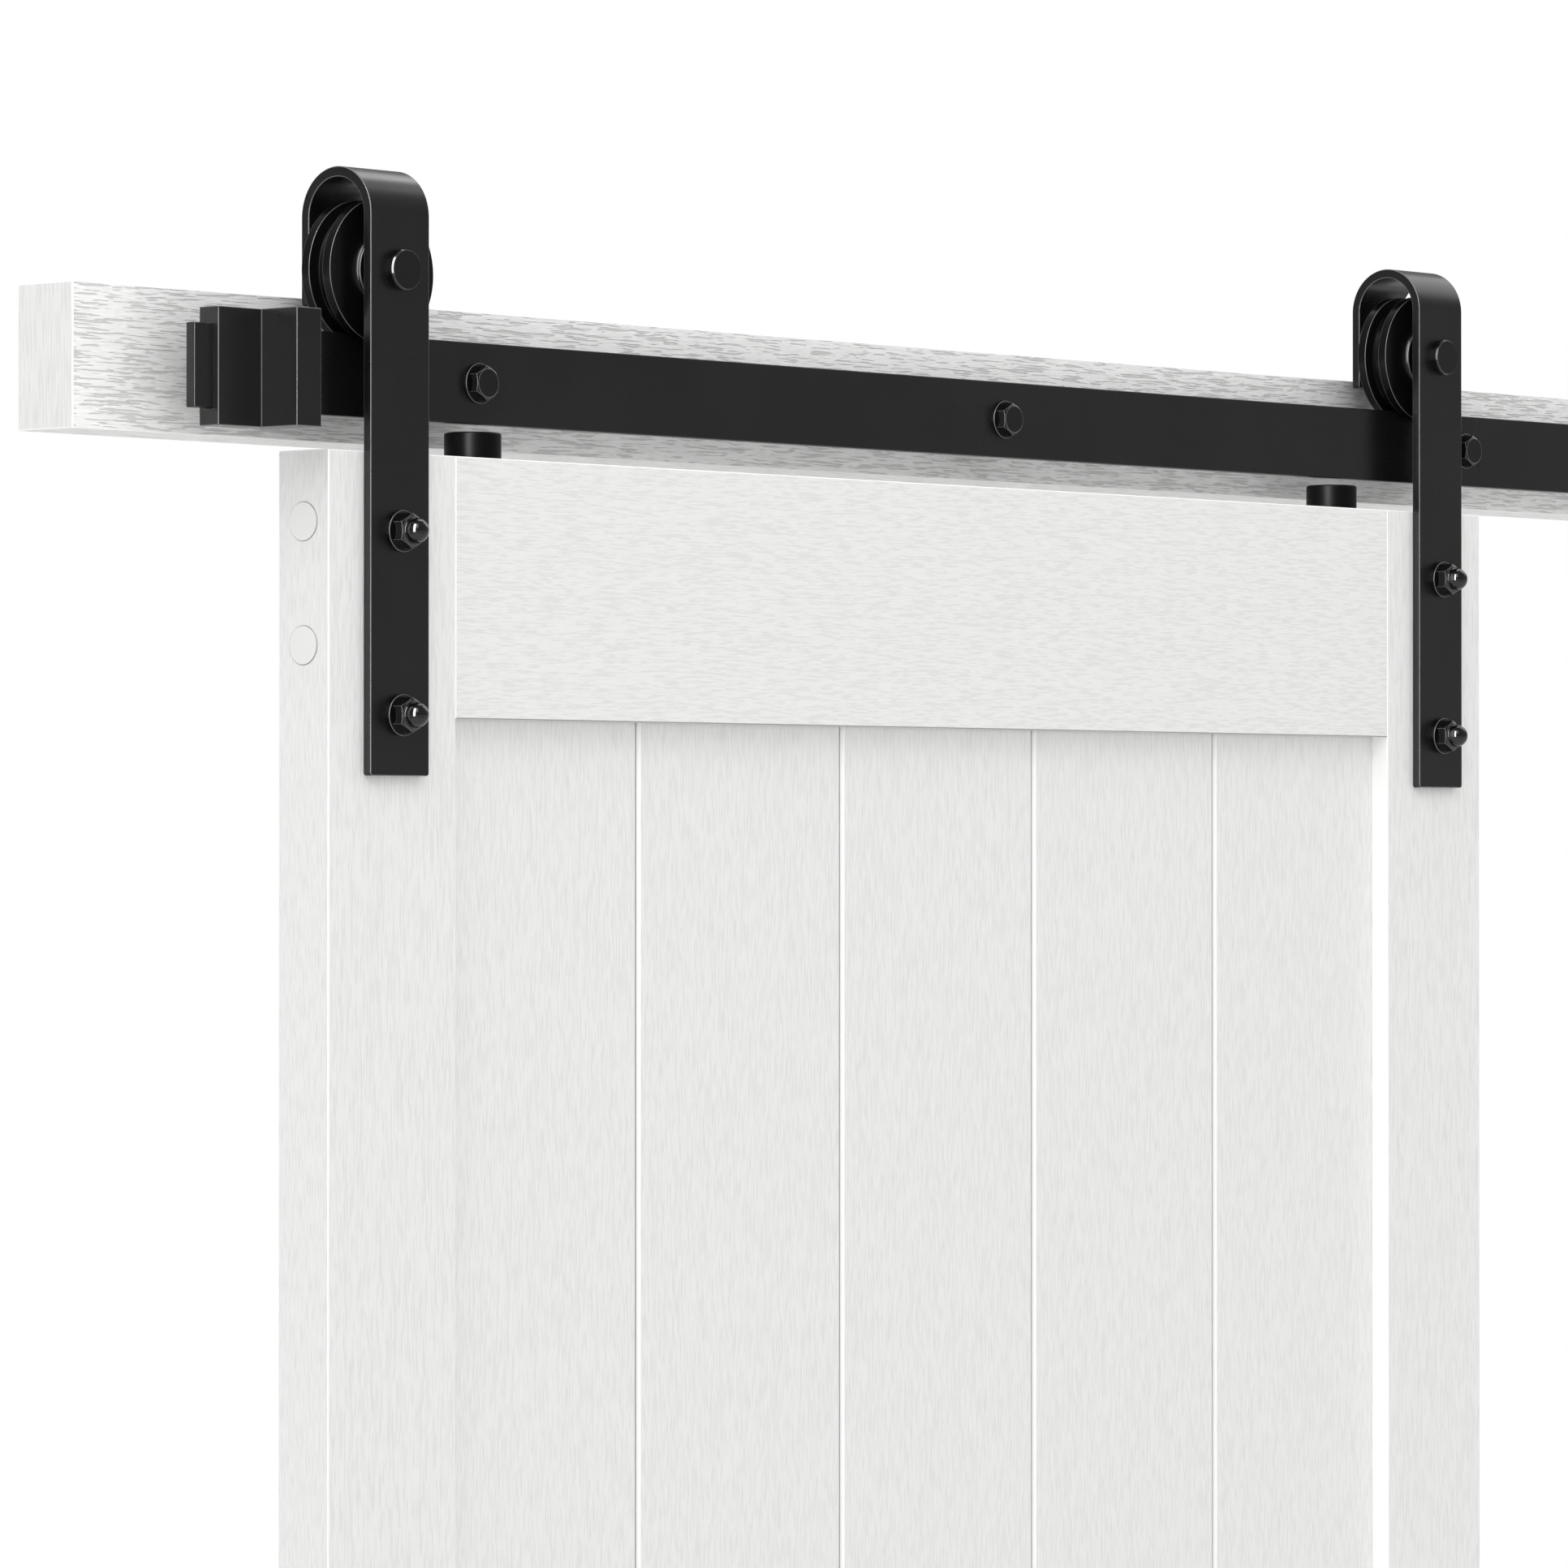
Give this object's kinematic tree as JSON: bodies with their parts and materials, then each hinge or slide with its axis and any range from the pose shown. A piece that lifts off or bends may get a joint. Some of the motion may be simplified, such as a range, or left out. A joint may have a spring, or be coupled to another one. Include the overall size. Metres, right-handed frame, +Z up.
{
  "type": "sliding barn door with header board and flat track",
  "caption": "Plank barn door on U-bent strap hangers whose grooved rollers run along a flat bar track, which stands on spacers in front of a header board, with end stops.",
  "frame": {"origin": "middle of the header board's back face, which lies flat on the wall", "axes": "+X along the track to the right, +Y into the wall, +Z up; the door faces -Y"},
  "size_m": [2.104, 0.1081, 2.271],
  "materials": {
    "white_wood": "white laminate with an embossed wood grain",
    "white_plastic": "smooth satin white",
    "black_steel": "satin black powder coat",
    "black_gloss": "glossy black coat on domed nuts",
    "black_nylon": "satin moulded black nylon",
    "bright_steel": "plain turned and zinc plated steel"
  },
  "bodies": {
    "frame": {"header_board": "white_wood", "rail_left": "black_steel", "rail_right": "black_steel", "rail_spacer_1": "black_steel", "rail_spacer_2": "black_steel", "rail_spacer_3": "black_steel", "rail_spacer_4": "black_steel", "rail_spacer_5": "black_steel", "lag_screws": "black_steel", "stop_left": "black_steel", "stop_right": "black_steel", "stop_set_screws": "bright_steel"},
    "door": {"left_stile": "white_wood", "right_stile": "white_wood", "top_rail": "white_wood", "bottom_rail": "white_wood", "plank_1": "white_wood", "plank_2": "white_wood", "plank_3": "white_wood", "plank_4": "white_wood", "plank_5": "white_wood", "frame_bolts": "bright_steel", "screw_caps": "white_plastic", "hanger_left": "black_steel", "hanger_right": "black_steel", "hanger_bolts": "black_steel", "hanger_washers": "bright_steel", "dome_nuts": "black_gloss", "axle_left": "black_steel", "axle_right": "black_steel", "axle_nuts": "bright_steel", "front_sleeve_left": "black_steel", "front_sleeve_right": "black_steel", "back_sleeve_left": "black_steel", "back_sleeve_right": "black_steel", "bearing_inner_left": "bright_steel", "bearing_inner_right": "bright_steel", "anti_jump_disc_left": "black_nylon", "anti_jump_disc_right": "black_nylon", "disc_screws": "bright_steel"},
    "left_wheel": {"wheel_left": "black_nylon", "bearing_outer_left": "bright_steel"},
    "right_wheel": {"wheel_right": "black_nylon", "bearing_outer_right": "bright_steel"}
  },
  "joints": [
    {"name": "door_slide", "type": "slide", "parent": "frame", "child": "door", "axis": [1, 0, 0], "range_m": [-0.0334, 0.9834]},
    {"name": "left_wheel_spin", "type": "hinge", "parent": "door", "child": "left_wheel", "pos_m": [-0.889, -0.069, 0.046], "axis": [0, 1, 0], "continuous": true},
    {"name": "right_wheel_spin", "type": "hinge", "parent": "door", "child": "right_wheel", "pos_m": [-0.061, -0.069, 0.046], "axis": [0, 1, 0], "continuous": true}
  ],
  "couplings": [
    {"joint": "left_wheel_spin", "follows": "door_slide", "rad_per_m": 33.557},
    {"joint": "right_wheel_spin", "follows": "door_slide", "rad_per_m": 33.557}
  ]
}
